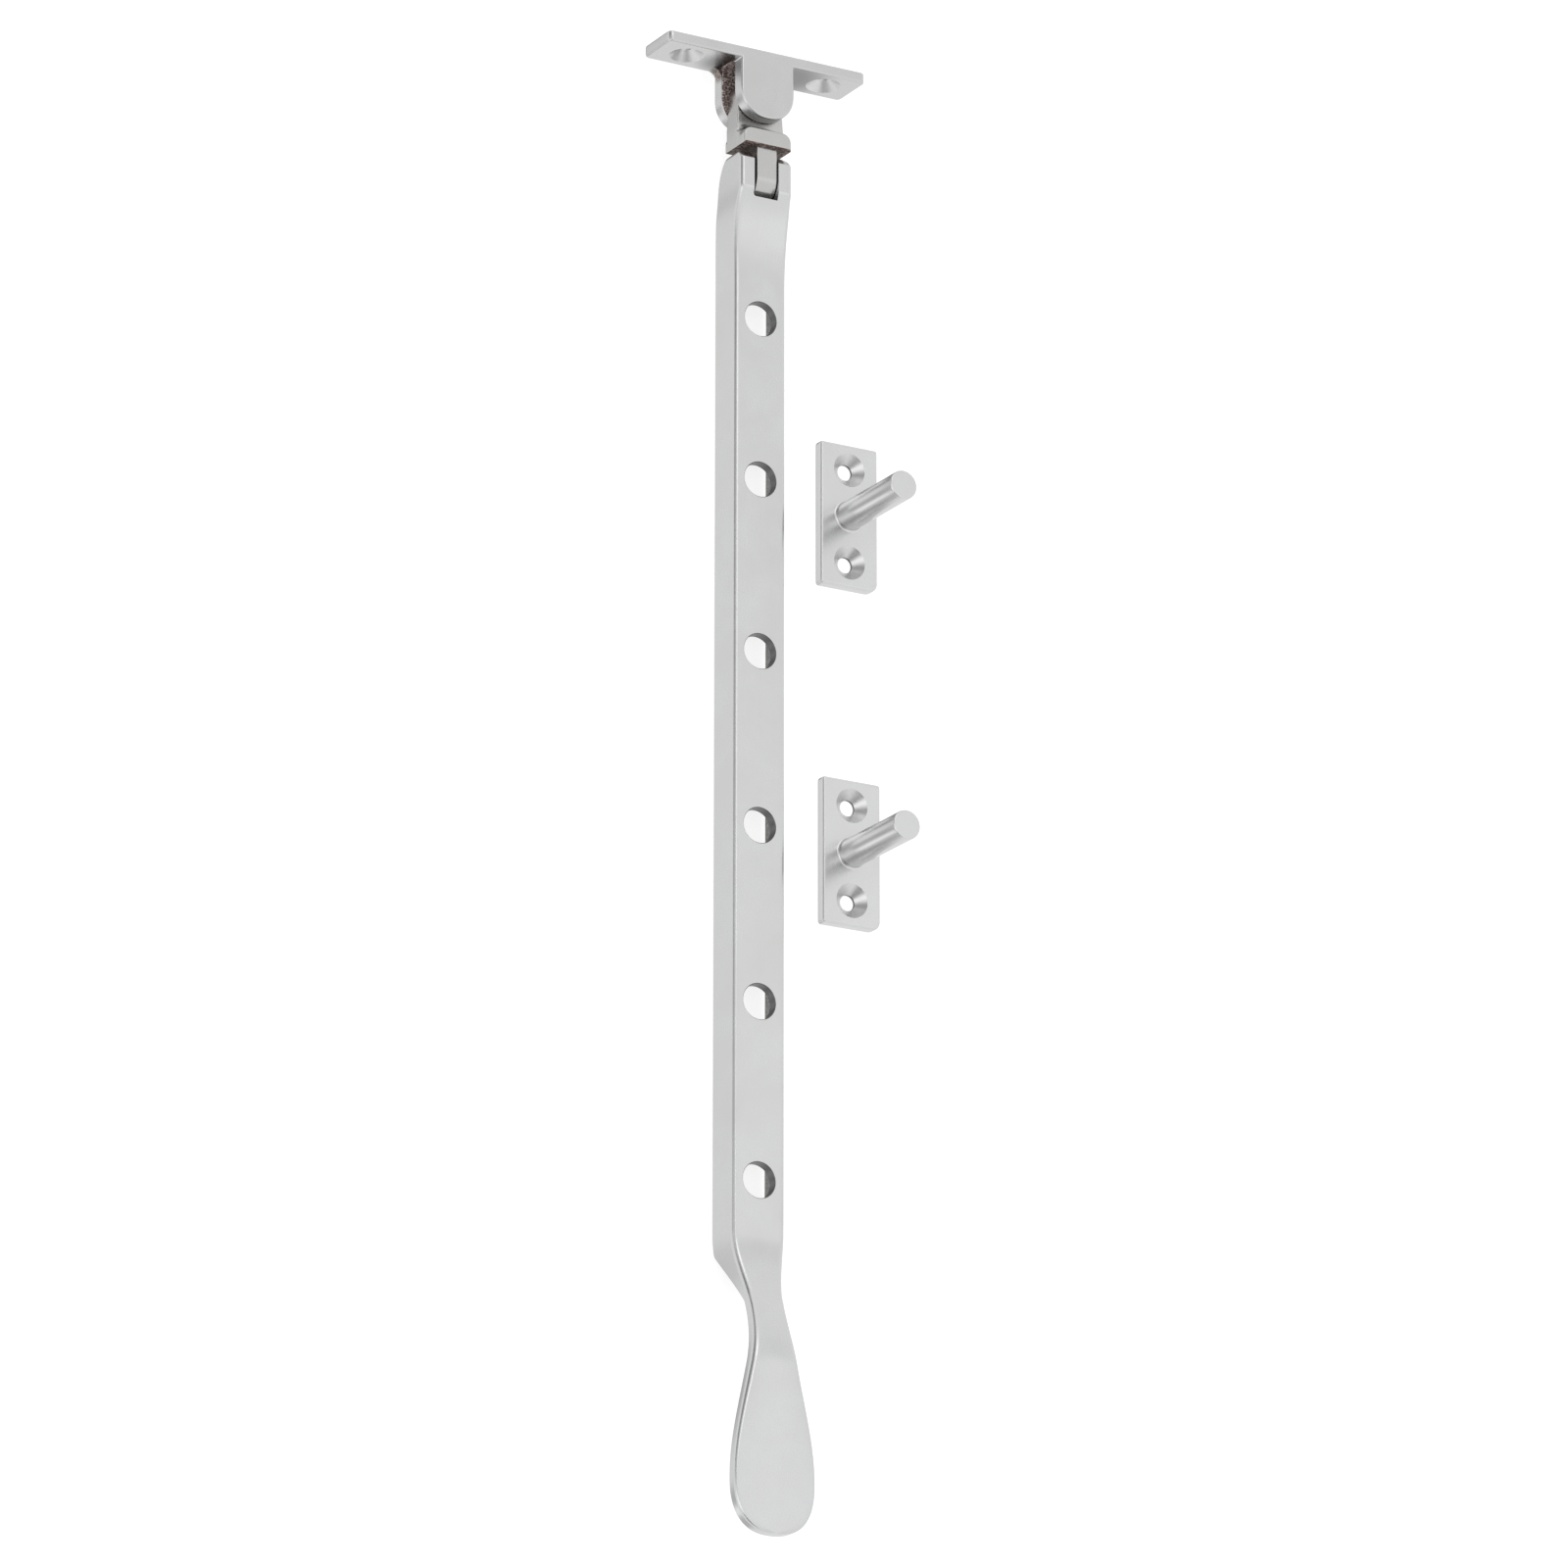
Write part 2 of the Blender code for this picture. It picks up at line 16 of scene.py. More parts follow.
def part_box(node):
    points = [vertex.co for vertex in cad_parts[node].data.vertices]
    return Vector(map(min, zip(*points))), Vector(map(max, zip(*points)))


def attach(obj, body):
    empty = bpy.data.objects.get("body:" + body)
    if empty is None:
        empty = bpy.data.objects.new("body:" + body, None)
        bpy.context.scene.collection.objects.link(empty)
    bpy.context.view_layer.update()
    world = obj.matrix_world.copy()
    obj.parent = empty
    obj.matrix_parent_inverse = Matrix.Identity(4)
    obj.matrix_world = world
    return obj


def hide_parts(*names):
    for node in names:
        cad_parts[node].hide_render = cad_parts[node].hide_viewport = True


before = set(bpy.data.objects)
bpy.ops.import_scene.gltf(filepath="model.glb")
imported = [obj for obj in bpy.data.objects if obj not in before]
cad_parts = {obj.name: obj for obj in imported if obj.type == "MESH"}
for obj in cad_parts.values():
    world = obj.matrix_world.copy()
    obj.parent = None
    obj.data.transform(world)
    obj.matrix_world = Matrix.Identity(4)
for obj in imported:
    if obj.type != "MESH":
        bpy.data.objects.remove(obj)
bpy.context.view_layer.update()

MM = 0.001


def node_size(node):
    """A CAD node's length, width and height in millimetres."""
    low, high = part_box(node)
    return (high - low) / MM


def node_centre(node):
    """The middle of a CAD node's box, in metres."""
    low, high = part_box(node)
    return (low + high) / 2


ARM_PIN = node_centre("arm_pivot_pin")
BRACKET_PIN = node_centre("bracket_pivot_pin")

# Fixing bracket, mm
PLATE_LENGTH, _, PLATE_DEPTH = node_size("fixing_bracket")
PLATE_OUTER = (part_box("fixing_bracket")[1].y - BRACKET_PIN.y) / MM
PLATE_THICK = 2.5
PLATE_INNER = PLATE_OUTER - PLATE_THICK
PLATE_CORNER_RADIUS = 1.1
PLATE_ROUNDING = 0.45
BRACKET_SCREW_SPACING = 33.6
LUG_HALF_WIDTH = 6.4            # at the front
LUG_DRAFT = 0.45                # how much wider each side is at the back
LUG_GAP = 5.0
LUG_BOTTOM = (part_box("fixing_bracket")[0].y - BRACKET_PIN.y) / MM
LUG_SQUARENESS = 2.2            # 2 is a true half round
LUG_FILLET = 2.4
LUG_DRAFT_AT_GAP = 0.7          # share of the draft, about where the gap starts
SCREW_HOLE_RADIUS = 1.75
COUNTERSINK_RADIUS = 3.75

# Pins: their ends are ground flush, so only a hairline shows
BRACKET_PIN_RADIUS = 2.0
ARM_PIN_RADIUS = 1.8
SEAM = 0.004
RUNNING_GAP = 0.15

# Swivel knuckle
PIN_TO_PIN = (BRACKET_PIN.y - ARM_PIN.y) / MM
EYE_HALF_WIDTH = 5.2
EYE_FLARE = 7.0                 # below the bracket pin, where the eye is as wide as the shoulder
EYE_INSET = 0.01                # the eye's foot sits this far inside the shoulder's sides
EYE_ROUNDING = 0.3
EYE_HALF_THICK = 2.25
EYE_FILLET = 1.8
SHOULDER_HALF_WIDTH = 5.75
SHOULDER_LOW = 6.6 - PIN_TO_PIN
SHOULDER_HIGH = 10.4 - PIN_TO_PIN
SHOULDER_CORNER = 2.0
SHOULDER_FRONT = 5.6
SHOULDER_BACK = -2.5
JOIN_OVERLAP = 1.0              # how far the eye and the tongue reach into the shoulder
TONGUE_WIDTH = 4.8
TONGUE_SIDE_SHIFT = 0.33
TONGUE_END_RADIUS = 4.65
TONGUE_NECK_BACK = -3.5
TONGUE_NECK_ANGLE = 298         # where the round end passes into the waist behind, degrees
TONGUE_ROUNDING = 0.15
KNUCKLE_ROUNDING = 0.4

# Arm: head, channel-section bar, neck and spoon
ARM_REACH = (ARM_PIN.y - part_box("arm")[0].y) / MM
HEAD_TOP = 5.3
HEAD_ROUND_RADIUS = 6.2         # front top corner, around the pin
HEAD_FRONT = 5.15
HEAD_BACK = -5.0
HEAD_BACK_RUN = 8.6             # the head's back is a quarter ellipse of this length, from its top down
HEAD_STEP_START = 3.2
HEAD_STEP_END = 24.0
HEAD_BULGE = 0.28
HEAD_BULGE_START = 0.2          # beyond the pin's edge
HEAD_BULGE_PLACE = 9.0          # where the head is widest
SLOT_WIDTH = 5.9
SLOT_SIDE_SHIFT = -0.05
SLOT_BOTTOM = 4.85
SLOT_CORNER = 0.7
BAR_FRONT = 2.6
BAR_BACK = -4.9
BAR_HALF_WIDTH = 6.22
BAR_CROWN = 0.06
FLANGE_DRAFT = 0.08
FLANGE_EDGE_THICK = 1.2
FLANGE_LIP = 0.3                # rounding of the flanges' back edges
WEB_THICK = 2.3
CHANNEL_START = 13.0
CHANNEL_RAMP = 3.0
CHANNEL_SIDE_SLOPE = 0.14
CHANNEL_FILLET = 0.8
FLANGE_RUNOUT_START = 235.5
FLANGE_RUNOUT_SLOPE = 0.8
CRANK_START = 232.0
CRANK_END = 260.0
HANDLE_FRONT = 9.8
HANDLE_THICK = 2.8
HANDLE_CROWN = 0.3
NECK_START = 231.0
NECK = 247.5
NECK_HALF_WIDTH = 4.1
SPOON_WIDEST = 284.0
SPOON_HALF_WIDTH = 9.4
SPOON_END_SQUARENESS = 2.5
HEAD_EDGE = 0.9                 # rounding of the front edges
BAR_EDGE = 1.0
NECK_EDGE = 1.4
NECK_EDGE_LEAD = 6.0            # the edge starts to change this far before the neck's start
NECK_EDGE_TRAIL = 4.0           # and starts to change back this far beyond the neck
SPOON_EDGE = 0.75
HOLE_RADIUS = 3.8
FIRST_HOLE = 31.6
SECOND_HOLE = 67.6
HOLE_PITCH = 38.1
HOLE_COUNT = 6
HOLE_CHAMFER = 0.14

# Loose pegs
PEG_PLATE_WIDTH, PEG_PLATE_LENGTH, PEG_HEIGHT = node_size("peg_upper")
PEG_PLATE_THICK = 2.6
PEG_CORNER_RADIUS = 0.6
PEG_WORN_CORNER_RADIUS = 2.0    # the lower right corner
PEG_ROUNDING = 0.55
PEG_SCREW_SPACING = 20.8
PEG_RADIUS = 3.18
PEG_FILLET = 0.5
PEG_END_ROUNDING = 0.3

ROUND_SIDES = 96
ROUNDING_STEPS = 4
SPARE = 1.0                     # how far a cutter runs past what it cuts

# Which of a piece's materials a face takes
SATIN, RAW, DRILLED, TURNED = range(4)

# Camera: its place in metres from the arm's pin, and which way it looks
CAMERA_FROM_PIN = Vector((-0.8649, -0.7046, 1.5149))
CAMERA_YAW = math.radians(29.93)
CAMERA_PITCH = math.radians(18.11)
CAMERA_ROLL = math.radians(0.05)
CAMERA_LENS = 202.9


# ---------------------------------------------------------------- shapes

def smooth_step(value, start, end):
    t = min(max((value - start) / (end - start), 0.0), 1.0)
    return t * t * (3 - 2 * t)


def circle(radius, a=0.0, b=0.0):
    turn = 2 * math.pi / ROUND_SIDES
    return [(a + radius * math.cos(i * turn), b + radius * math.sin(i * turn)) for i in range(ROUND_SIDES)]


def arc(radius, a, b, start, end, steps):
    """Points on a circle from the start angle to the end angle, in degrees."""
    angles = [math.radians(start + (end - start) * i / steps) for i in range(steps + 1)]
    return [(a + radius * math.cos(angle), b + radius * math.sin(angle)) for angle in angles]


def quarter_turn(steps):
    """(1 - cos, 1 - sin) at even steps through a quarter turn, for a rounding or a hollow fillet."""
    angles = [math.radians(90 * i / steps) for i in range(steps + 1)]
    return [(1 - math.cos(angle), 1 - math.sin(angle)) for angle in angles]


def rectangle(low_a, high_a, low_b, high_b):
    return [(low_a, low_b), (high_a, low_b), (high_a, high_b), (low_a, high_b)]


def spread(start, end, steps):
    return [start + (end - start) * i / steps for i in range(steps)]


def loft(rings, finish=SATIN, finish_of_step=None):
    """Skin a list of rings of (x, y, z) points and close both ends. Each step round the ring has a finish."""
    bm = bmesh.new()
    loops = [[bm.verts.new(point) for point in ring] for ring in rings]
    count = len(loops[0])
    for low, high in zip(loops, loops[1:]):
        for i in range(count):
            j = (i + 1) % count
            face = bm.faces.new((low[i], low[j], high[j], high[i]))
            face.material_index = finish_of_step(i) if finish_of_step else finish
    for loop in (loops[0], loops[-1]):
        bm.faces.new(loop).material_index = finish
    bmesh.ops.recalc_face_normals(bm, faces=bm.faces)
    return bm


def along(axis, a, b, c):
    """The point with c along the axis and a, b along the other two, in order."""
    values = [a, b]
    values.insert("XYZ".index(axis), c)
    return values


def prism(outline, axis, low, high, finish=SATIN):
    return loft([[along(axis, a, b, c) for a, b in outline] for c in (low, high)], finish)


def turned(axis, a, b, profile, finish=SATIN):
    """A turned solid on an axis through (a, b): its profile is a list of (level, radius)."""
    rings = [[along(axis, p, q, level) for p, q in circle(radius, a, b)] for level, radius in profile]
    return loft(rings, finish)


def new_object(name, bm, materials=()):
    mesh = bpy.data.meshes.new(name)
    for material in materials:
        mesh.materials.append(material)
    bm.to_mesh(mesh)
    bm.free()
    thing = bpy.data.objects.new(name, mesh)
    bpy.context.scene.collection.objects.link(thing)
    return thing


def settle(thing):
    """Turn what the modifiers make into the piece's own mesh."""
    graph = bpy.context.evaluated_depsgraph_get()
    rough = thing.data
    thing.data = bpy.data.meshes.new_from_object(thing.evaluated_get(graph), depsgraph=graph)
    thing.data.name = thing.name
    thing.modifiers.clear()
    bpy.data.meshes.remove(rough)


def discard(thing):
    mesh = thing.data
    bpy.data.objects.remove(thing, do_unlink=True)
    bpy.data.meshes.remove(mesh)


def combine(thing, bm, operation):
    """Cut a helper solid from a piece, or join it on."""
    helper = new_object("helper", bm, thing.data.materials)
    boolean = thing.modifiers.new("shape", "BOOLEAN")
    boolean.operation = operation
    boolean.solver = "EXACT"
    boolean.material_mode = "INDEX"
    boolean.object = helper
    settle(thing)
    discard(helper)


def cut(thing, bm):
    combine(thing, bm, "DIFFERENCE")


def join(thing, bm):
    combine(thing, bm, "UNION")


def round_edges(thing, width):
    bevel = thing.modifiers.new("rounding", "BEVEL")
    bevel.width = width
    bevel.segments = ROUNDING_STEPS
    bevel.limit_method = "ANGLE"
    bevel.angle_limit = math.radians(40)
    settle(thing)


def finish_piece(thing, centre, body, node):
    """Scale a piece to metres, put it in place, smooth it, and let it stand for its CAD node."""
    mesh = thing.data
    mesh.transform(Matrix.Scale(MM, 4))
    mesh.shade_smooth()
    mesh.set_sharp_from_angle(angle=math.radians(32))
    weighted = thing.modifiers.new("flat faces stay flat", "WEIGHTED_NORMAL")
    weighted.keep_sharp = True
    weighted.weight = 80
    settle(thing)
    thing.location = centre
    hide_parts(node)
    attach(thing, body)


# ---------------------------------------------------------------- fixing bracket and pins

def bracket_outline(lug_half):
    """The plate and one lug as seen from the front: a T with a rounded foot."""
    steps = 48
    middle = LUG_BOTTOM + LUG_HALF_WIDTH
    foot = []
    for i in range(steps + 1):
        angle = math.pi * i / steps
        across = math.copysign(abs(math.cos(angle)) ** (2 / LUG_SQUARENESS), math.cos(angle))
        down = math.sin(angle) ** (2 / LUG_SQUARENESS)
        foot.append((-lug_half * across, middle - LUG_HALF_WIDTH * down))
    half = PLATE_LENGTH / 2
    plate = [(half, PLATE_INNER), (half, PLATE_OUTER), (-half, PLATE_OUTER), (-half, PLATE_INNER)]
    return [(-lug_half, PLATE_INNER)] + foot + [(lug_half, PLATE_INNER)] + plate


def bracket_rings():
    """The lugs are drafted, so the outline is wider at the back than at the front."""
    levels = ((LUG_HALF_WIDTH + LUG_DRAFT, -PLATE_DEPTH / 2), (LUG_HALF_WIDTH, PLATE_DEPTH / 2))
    return [[(x, y, z) for x, y in bracket_outline(lug_half)] for lug_half, z in levels]


def plate_corner(side, end):
    """What is cut away to round one of the plate's four corners: side is along X, end is along Z."""
    centre_x = PLATE_LENGTH / 2 - PLATE_CORNER_RADIUS
    centre_z = PLATE_DEPTH / 2 - PLATE_CORNER_RADIUS
    far_x = PLATE_LENGTH / 2 + SPARE
    far_z = PLATE_DEPTH / 2 + SPARE
    outline = arc(PLATE_CORNER_RADIUS, centre_x, centre_z, 0, 90, 10)
    outline += [(centre_x, far_z), (far_x, far_z), (far_x, centre_z)]
    return prism([(side * x, end * z) for x, z in outline], "Y", PLATE_INNER - SPARE, PLATE_OUTER + SPARE)


def lug_fillet(side):
    """The cast fillet in the corner between the rear lug and the plate, on one side."""
    sink = 0.9              # into the lug and the plate
    clear_of_back = 0.55
    clear_of_gap = 0.1
    centre_x = LUG_HALF_WIDTH + LUG_DRAFT_AT_GAP * LUG_DRAFT + LUG_FILLET
    curve = arc(LUG_FILLET, centre_x, PLATE_INNER - LUG_FILLET, 90, 180, 16)
    outline = [(side * x, y) for x, y in curve]
    buried = side * (LUG_HALF_WIDTH - sink)
    outline += [(buried, PLATE_INNER - LUG_FILLET), (buried, PLATE_INNER + sink),
                (side * centre_x, PLATE_INNER + sink)]
    return prism(outline, "Z", -PLATE_DEPTH / 2 + clear_of_back, -LUG_GAP / 2 - clear_of_gap)


def countersunk_hole(axis, a, b, inner, outer):
    """A screw hole along an axis: a drilled bore, then a turned seat that opens at outer."""
    way = 1 if outer > inner else -1
    sink = (COUNTERSINK_RADIUS - SCREW_HOLE_RADIUS) * way
    shank = [(inner - way * SPARE, SCREW_HOLE_RADIUS), (outer, SCREW_HOLE_RADIUS)]
    cone = [(outer - sink, SCREW_HOLE_RADIUS), (outer, COUNTERSINK_RADIUS),
            (outer + way * SPARE, COUNTERSINK_RADIUS + SPARE)]
    bore = turned(axis, a, b, shank, DRILLED)
    seat = turned(axis, a, b, cone, TURNED)
    return bore, seat


def build_bracket(materials):
    bracket = new_object("fixing_bracket_casting", loft(bracket_rings()), materials)
    reach = 2 * LUG_HALF_WIDTH
    cut(bracket, prism(rectangle(-reach, reach, -reach, PLATE_INNER), "Z", -LUG_GAP / 2, LUG_GAP / 2, RAW))
    for side, end in ((1, 1), (-1, 1), (-1, -1), (1, -1)):
        cut(bracket, plate_corner(side, end))
    round_edges(bracket, PLATE_ROUNDING)
    for side in (-1, 1):
        join(bracket, lug_fillet(side))
        for cutter in countersunk_hole("Y", side * BRACKET_SCREW_SPACING / 2, 0, PLATE_OUTER, PLATE_INNER):
            cut(bracket, cutter)
    bore = circle(BRACKET_PIN_RADIUS + SEAM)
    cut(bracket, prism(bore, "Z", -PLATE_DEPTH, PLATE_DEPTH, DRILLED))
    finish_piece(bracket, BRACKET_PIN, "bracket", "fixing_bracket")


def build_pin(name, axis, radius, half_length, centre, materials, body, node):
    """A plain pin whose ends are ground flush with the casting round it."""
    chamfer = 0.005
    profile = [(-half_length, radius - chamfer), (chamfer - half_length, radius),
               (half_length - chamfer, radius), (half_length, radius - chamfer)]
    pin = new_object(name, turned(axis, 0, 0, profile), materials)
    finish_piece(pin, centre, body, node)


# ---------------------------------------------------------------- swivel knuckle

def shoulder_ring(z, rise, inset=0.0):
    """The shoulder from the front at a height z: a block whose round upper corners are raised by rise."""
    half = SHOULDER_HALF_WIDTH - inset
    low = SHOULDER_LOW + inset
    corner_x = SHOULDER_HALF_WIDTH - SHOULDER_CORNER
    corner_y = SHOULDER_HIGH - SHOULDER_CORNER + rise
    right = arc(SHOULDER_CORNER - inset, corner_x, corner_y, 0, 90, 12)
    left = arc(SHOULDER_CORNER - inset, -corner_x, corner_y, 90, 180, 12)
    return [(x, y, z) for x, y in [(-half, low), (half, low)] + right + left]


def shoulder_block():
    """The shoulder runs out over the eye in a hollow fillet; its underside keeps the skin of the casting."""
    rings = [shoulder_ring(SHOULDER_BACK, 0), shoulder_ring(0, 0)]
    for run, rise in quarter_turn(14):
        rings.append(shoulder_ring(EYE_HALF_THICK + EYE_FILLET * run, EYE_FILLET * rise))
    for inset, back_off in quarter_turn(ROUNDING_STEPS):
        rings.append(shoulder_ring(SHOULDER_FRONT - KNUCKLE_ROUNDING * back_off, 0, KNUCKLE_ROUNDING * inset))
    return loft(rings, SATIN, lambda i: RAW if i == 0 else SATIN)


def tongue_outline():
    """The tongue from the side, (y, z): straight in front, waisted behind, round about the arm's pin."""
    top = SHOULDER_LOW + JOIN_OVERLAP
    end = arc(TONGUE_END_RADIUS, -PIN_TO_PIN, 0, 90, TONGUE_NECK_ANGLE, 48)
    return end + [(top, TONGUE_NECK_BACK), (top, TONGUE_END_RADIUS)]


def build_knuckle(materials):
    foot = SHOULDER_LOW + JOIN_OVERLAP
    eye_half = SHOULDER_HALF_WIDTH - EYE_INSET
    eye = arc(EYE_HALF_WIDTH, 0, 0, 0, 180, 40) + [
        (-eye_half, -EYE_FLARE), (-eye_half, foot), (eye_half, foot), (eye_half, -EYE_FLARE)]
    eye_block = prism(eye, "Z", -EYE_HALF_THICK, EYE_HALF_THICK)
    knuckle = new_object("swivel_knuckle_casting", eye_block, materials)
    round_edges(knuckle, EYE_ROUNDING)
    join(knuckle, shoulder_block())
    tongue_left = TONGUE_SIDE_SHIFT - TONGUE_WIDTH / 2
    tongue_right = TONGUE_SIDE_SHIFT + TONGUE_WIDTH / 2
    tongue = new_object("tongue", prism(tongue_outline(), "X", tongue_left, tongue_right))
    round_edges(tongue, TONGUE_ROUNDING)
    rounded = bmesh.new()
    rounded.from_mesh(tongue.data)
    discard(tongue)
    join(knuckle, rounded)
    arm_bore = circle(ARM_PIN_RADIUS + RUNNING_GAP, -PIN_TO_PIN)
    bracket_bore = circle(BRACKET_PIN_RADIUS + RUNNING_GAP)
    for bore, axis in ((arm_bore, "X"), (bracket_bore, "Z")):
        cut(knuckle, prism(bore, axis, -PLATE_DEPTH, PLATE_DEPTH, DRILLED))
    finish_piece(knuckle, BRACKET_PIN, "knuckle", "swivel_knuckle")


# ---------------------------------------------------------------- arm

def arm_front(s):
    """Height of the arm's front face above the pin's axis, at a distance s from the pin."""
    if s < HEAD_STEP_START:
        round_top = math.sqrt(max(HEAD_ROUND_RADIUS ** 2 - min(s, 0.0) ** 2, 0.0))
        return min(HEAD_FRONT, round_top)
    fall = (s - HEAD_STEP_START) / (HEAD_STEP_END - HEAD_STEP_START)
    step = BAR_FRONT + (HEAD_FRONT - BAR_FRONT) * (1 - min(fall, 1.0)) ** 3
    return step + (HANDLE_FRONT - BAR_FRONT) * smooth_step(s, CRANK_START, CRANK_END)


def web_back(s):
    thick = WEB_THICK + (HANDLE_THICK - WEB_THICK) * smooth_step(s, CRANK_START, CRANK_END)
    return arm_front(s) - thick


def flange_edge(s):
    """Height of the flanges' back edges: the head's round back, the bar's, then a straight run-out."""
    lead = HEAD_BACK_RUN - HEAD_TOP - s
    if lead > 0:
        return HEAD_BACK * math.sqrt(max(1 - (lead / HEAD_BACK_RUN) ** 2, 0.0))
    level = HEAD_BACK + (BAR_BACK - HEAD_BACK) * smooth_step(s, HEAD_BACK_RUN - HEAD_TOP, HEAD_STEP_END)
    run_out = BAR_BACK + FLANGE_RUNOUT_SLOPE * max(s - FLANGE_RUNOUT_START, 0.0)
    return min(max(level, run_out), web_back(s)) if s > HEAD_STEP_END else level


def channel_floor(s):
    """Height of the channel's floor: at the flange edge where the arm is solid."""
    edge = flange_edge(s)
    depth = min(max((s - CHANNEL_START) / CHANNEL_RAMP, 0.0), 1.0)
    return edge + (web_back(s) - edge) * depth


def arm_half_width(s):
    if s > SPOON_WIDEST:
        share = (s - SPOON_WIDEST) / (ARM_REACH - SPOON_WIDEST)
        power = SPOON_END_SQUARENESS
        return SPOON_HALF_WIDTH * max(1 - share ** power, 0.0) ** (1 / power)
    width = BAR_HALF_WIDTH - (BAR_HALF_WIDTH - NECK_HALF_WIDTH) * smooth_step(s, NECK_START, NECK)
    width += (SPOON_HALF_WIDTH - NECK_HALF_WIDTH) * smooth_step(s, NECK, SPOON_WIDEST)
    bulge = smooth_step(s, ARM_PIN_RADIUS + HEAD_BULGE_START, HEAD_BULGE_PLACE)
    bulge *= 1 - smooth_step(s, HEAD_BULGE_PLACE, HEAD_STEP_END)
    width += HEAD_BULGE * bulge
    lead = s + HEAD_TOP
    if lead < HEAD_EDGE:
        width -= HEAD_EDGE - math.sqrt(HEAD_EDGE ** 2 - (HEAD_EDGE - lead) ** 2)
    return width


def edge_rounding(s):
    """Radius of the front's long edges: the caster's file went deepest at the neck."""
    edge = HEAD_EDGE + (BAR_EDGE - HEAD_EDGE) * smooth_step(s, 0, HEAD_STEP_END)
    edge += (NECK_EDGE - BAR_EDGE) * smooth_step(s, NECK_START - NECK_EDGE_LEAD, NECK)
    return edge + (SPOON_EDGE - NECK_EDGE) * smooth_step(s, NECK + NECK_EDGE_TRAIL, SPOON_WIDEST)


FACE_POINTS = 9         # from the middle of the front face to its rounded edge
ARC_STEPS = 6
FILLET_STEPS = 4


def arm_half_section(s):
    """The right half of the arm's section at s, (x, z), from the middle of the front to that of the channel.

    The shares of half, thick and floor_half keep every rounding smaller than what it sits on, out to the tip.
    """
    front = arm_front(s)
    edge = flange_edge(s)
    floor = channel_floor(s)
    half = arm_half_width(s)
    thick = front - edge
    crown = BAR_CROWN + (HANDLE_CROWN - BAR_CROWN) * smooth_step(s, CRANK_START, SPOON_WIDEST)
    crown *= smooth_step(s, HEAD_STEP_START, HEAD_STEP_END)
    draft = FLANGE_DRAFT * smooth_step(s, 0, HEAD_STEP_END)
    draft *= 1 - smooth_step(s, FLANGE_RUNOUT_START, CRANK_END)
    back_half = half + draft * thick
    bend = min(edge_rounding(s), 0.45 * half, 0.42 * thick)
    lip = min(FLANGE_LIP, 0.5 * bend, 0.2 * thick)
    flat = half - bend
    points = [(flat * i / FACE_POINTS, front - crown * (i / FACE_POINTS) ** 2) for i in range(FACE_POINTS)]
    drop = front - crown
    points += [(x, z) for x, z in reversed(arc(bend, flat, drop - bend, 0, 90, ARC_STEPS))]
    points += [(x, z) for x, z in reversed(arc(lip, back_half - lip, edge + lip, -90, 0, ARC_STEPS))]
    edge_inner = back_half - min(FLANGE_EDGE_THICK, 0.35 * half)
    floor_half = edge_inner - min(CHANNEL_SIDE_SLOPE * (floor - edge) + 0.1, 0.2 * half)
    rise = min(CHANNEL_FILLET, 0.3 * (floor - edge), 0.3 * floor_half)
    run = min(CHANNEL_FILLET, 0.3 * floor_half)
    points.append((edge_inner - min(0.05, lip), edge))
    points += [(floor_half - run * across, floor - rise * up) for across, up in quarter_turn(FILLET_STEPS)]
    return points


def arm_section(s):
    side = arm_half_section(s)
    ring = side + [(-x, z) for x, z in reversed(side[1:])]
    return [(x, -s, z) for x, z in ring]


def arm_stations():
    """Distances along the arm at which it gets a ring, close together where the shape turns."""
    end_of_back = HEAD_BACK_RUN - HEAD_TOP
    count = 44
    last_angle = 62         # how far these rings go round the head's back, degrees
    crowding = 1.3          # they stand closer together towards its top
    turns = [math.radians(last_angle * (i / count) ** crowding) for i in range(count)]
    head = [end_of_back - HEAD_BACK_RUN * math.cos(turn) for turn in turns]
    step = spread(head[-1] + 0.3, HEAD_STEP_START, 8) + spread(HEAD_STEP_START, CHANNEL_START, 20)
    channel = spread(CHANNEL_START, CHANNEL_START + CHANNEL_RAMP, 3)
    channel += spread(CHANNEL_START + CHANNEL_RAMP, HEAD_STEP_END, 12)
    bar = spread(HEAD_STEP_END, NECK_START, 54)
    neck = spread(NECK_START, CRANK_END, 42)
    spoon = spread(CRANK_END, SPOON_WIDEST, 24)
    tip_angle = 88.5        # degrees: the last ring stays just short of the spoon's end
    angles = [math.radians(tip_angle * i / 36) for i in range(37)]
    tip = [SPOON_WIDEST + (ARM_REACH - SPOON_WIDEST) * math.sin(angle) for angle in angles]
    return head + step + channel + bar + neck + spoon + tip


def hole_places():
    return [FIRST_HOLE] + [SECOND_HOLE + HOLE_PITCH * i for i in range(HOLE_COUNT - 1)]


def slot_outline():
    """The head's slot from the front: square at the right, a small cast radius at the lower left."""
    left = SLOT_SIDE_SHIFT - SLOT_WIDTH / 2
    right = SLOT_SIDE_SHIFT + SLOT_WIDTH / 2
    corner = arc(SLOT_CORNER, left + SLOT_CORNER, SLOT_CORNER - SLOT_BOTTOM, 180, 270, 8)
    return corner + [(right, -SLOT_BOTTOM), (right, 2 * HEAD_ROUND_RADIUS), (left, 2 * HEAD_ROUND_RADIUS)]


